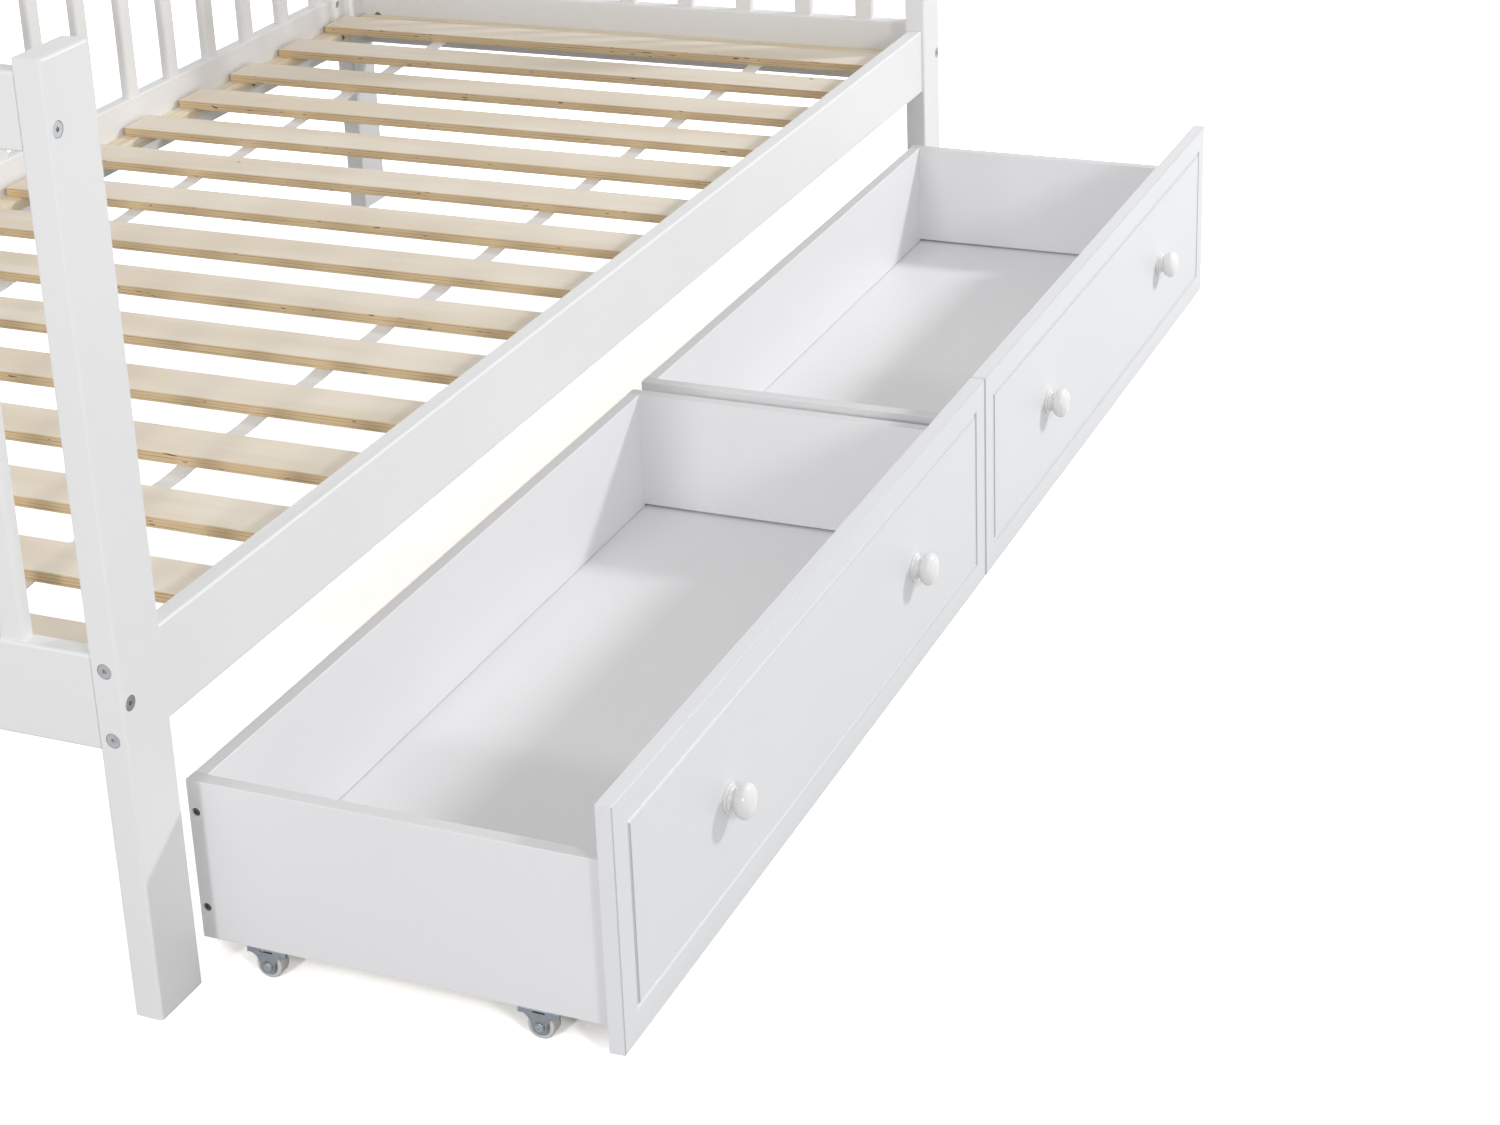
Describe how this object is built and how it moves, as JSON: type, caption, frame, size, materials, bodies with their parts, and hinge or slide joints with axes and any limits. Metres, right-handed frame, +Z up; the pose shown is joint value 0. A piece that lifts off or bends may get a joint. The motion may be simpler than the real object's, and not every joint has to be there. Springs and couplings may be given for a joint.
{
  "type": "daybed with storage drawers",
  "caption": "White spindle-sided daybed with a slatted base, and storage drawers on castors that roll out of its open front.",
  "frame": {"origin": "on the floor, at the middle of the box round the bed and its drawers as they stand at rest, pulled out", "axes": "+X along the bed's length, -Y out of the open front where the drawers roll out, +Z up"},
  "size_m": [2.06, 1.376, 0.85],
  "materials": {
    "painted_pine": "white satin paint",
    "drawer_board": "white satin foil on board",
    "drawer_bottom_board": "white melamine",
    "knob_lacquer": "white gloss lacquer",
    "slat_laminate": "raw laminated wood",
    "raw_pine": "raw sawn wood",
    "webbing": "woven webbing",
    "bolt_steel": "zinc plated",
    "castor_zinc": "zinc plated",
    "wheel_plastic": "moulded"
  },
  "bodies": {
    "bed_frame": {"back_ledger": "raw_pine", "back_left_post": "painted_pine", "back_lower_rail": "painted_pine", "back_right_post": "painted_pine", "back_spindles": "painted_pine", "back_top_rail": "painted_pine", "barrel_nuts": "bolt_steel", "frame_bolts": "bolt_steel", "front_ledger": "raw_pine", "front_left_post": "painted_pine", "front_rail": "painted_pine", "front_right_post": "painted_pine", "left_end_ledger": "raw_pine", "left_end_lower_rail": "painted_pine", "left_end_spindles": "painted_pine", "left_end_top_rail": "painted_pine", "right_end_ledger": "raw_pine", "right_end_lower_rail": "painted_pine", "right_end_spindles": "painted_pine", "right_end_top_rail": "painted_pine", "slat_01": "slat_laminate", "slat_02": "slat_laminate", "slat_03": "slat_laminate", "slat_04": "slat_laminate", "slat_05": "slat_laminate", "slat_06": "slat_laminate", "slat_07": "slat_laminate", "slat_08": "slat_laminate", "slat_09": "slat_laminate", "slat_10": "slat_laminate", "slat_11": "slat_laminate", "slat_12": "slat_laminate", "slat_13": "slat_laminate", "slat_14": "slat_laminate", "slat_15": "slat_laminate", "slat_webbing": "webbing"},
    "left_drawer": {"left_drawer_back": "drawer_board", "left_drawer_bottom": "drawer_bottom_board", "left_drawer_castor_battens": "raw_pine", "left_drawer_castor_forks": "castor_zinc", "left_drawer_front": "drawer_board", "left_drawer_knobs": "knob_lacquer", "left_drawer_left_side": "drawer_board", "left_drawer_right_side": "drawer_board"},
    "right_drawer": {"right_drawer_back": "drawer_board", "right_drawer_bottom": "drawer_bottom_board", "right_drawer_castor_battens": "raw_pine", "right_drawer_castor_forks": "castor_zinc", "right_drawer_front": "drawer_board", "right_drawer_knobs": "knob_lacquer", "right_drawer_left_side": "drawer_board", "right_drawer_right_side": "drawer_board"},
    "left_drawer_front_left_roller": {"left_drawer_front_left_wheel": "wheel_plastic"},
    "left_drawer_front_right_roller": {"left_drawer_front_right_wheel": "wheel_plastic"},
    "left_drawer_back_left_roller": {"left_drawer_back_left_wheel": "wheel_plastic"},
    "left_drawer_back_right_roller": {"left_drawer_back_right_wheel": "wheel_plastic"},
    "right_drawer_front_left_roller": {"right_drawer_front_left_wheel": "wheel_plastic"},
    "right_drawer_front_right_roller": {"right_drawer_front_right_wheel": "wheel_plastic"},
    "right_drawer_back_left_roller": {"right_drawer_back_left_wheel": "wheel_plastic"},
    "right_drawer_back_right_roller": {"right_drawer_back_right_wheel": "wheel_plastic"}
  },
  "joints": [
    {"name": "left_drawer_slide", "type": "slide", "parent": "bed_frame", "child": "left_drawer", "axis": [0, -1, 0], "range_m": [-0.405, 0.1]},
    {"name": "right_drawer_slide", "type": "slide", "parent": "bed_frame", "child": "right_drawer", "axis": [0, -1, 0], "range_m": [-0.405, 0.1]},
    {"name": "left_drawer_front_left_spin", "type": "hinge", "parent": "left_drawer", "child": "left_drawer_front_left_roller", "pos_m": [-0.933, -0.579, 0.0125], "axis": [1, 0, 0], "continuous": true},
    {"name": "left_drawer_front_right_spin", "type": "hinge", "parent": "left_drawer", "child": "left_drawer_front_right_roller", "pos_m": [-0.021, -0.579, 0.0125], "axis": [1, 0, 0], "continuous": true},
    {"name": "left_drawer_back_left_spin", "type": "hinge", "parent": "left_drawer", "child": "left_drawer_back_left_roller", "pos_m": [-0.933, -0.315, 0.0125], "axis": [1, 0, 0], "continuous": true},
    {"name": "left_drawer_back_right_spin", "type": "hinge", "parent": "left_drawer", "child": "left_drawer_back_right_roller", "pos_m": [-0.021, -0.315, 0.0125], "axis": [1, 0, 0], "continuous": true},
    {"name": "right_drawer_front_left_spin", "type": "hinge", "parent": "right_drawer", "child": "right_drawer_front_left_roller", "pos_m": [0.021, -0.579, 0.0125], "axis": [1, 0, 0], "continuous": true},
    {"name": "right_drawer_front_right_spin", "type": "hinge", "parent": "right_drawer", "child": "right_drawer_front_right_roller", "pos_m": [0.933, -0.579, 0.0125], "axis": [1, 0, 0], "continuous": true},
    {"name": "right_drawer_back_left_spin", "type": "hinge", "parent": "right_drawer", "child": "right_drawer_back_left_roller", "pos_m": [0.021, -0.315, 0.0125], "axis": [1, 0, 0], "continuous": true},
    {"name": "right_drawer_back_right_spin", "type": "hinge", "parent": "right_drawer", "child": "right_drawer_back_right_roller", "pos_m": [0.933, -0.315, 0.0125], "axis": [1, 0, 0], "continuous": true}
  ],
  "couplings": [
    {"joint": "left_drawer_front_left_spin", "follows": "left_drawer_slide", "rad_per_m": 80},
    {"joint": "left_drawer_front_right_spin", "follows": "left_drawer_slide", "rad_per_m": 80},
    {"joint": "left_drawer_back_left_spin", "follows": "left_drawer_slide", "rad_per_m": 80},
    {"joint": "left_drawer_back_right_spin", "follows": "left_drawer_slide", "rad_per_m": 80},
    {"joint": "right_drawer_front_left_spin", "follows": "right_drawer_slide", "rad_per_m": 80},
    {"joint": "right_drawer_front_right_spin", "follows": "right_drawer_slide", "rad_per_m": 80},
    {"joint": "right_drawer_back_left_spin", "follows": "right_drawer_slide", "rad_per_m": 80},
    {"joint": "right_drawer_back_right_spin", "follows": "right_drawer_slide", "rad_per_m": 80}
  ]
}
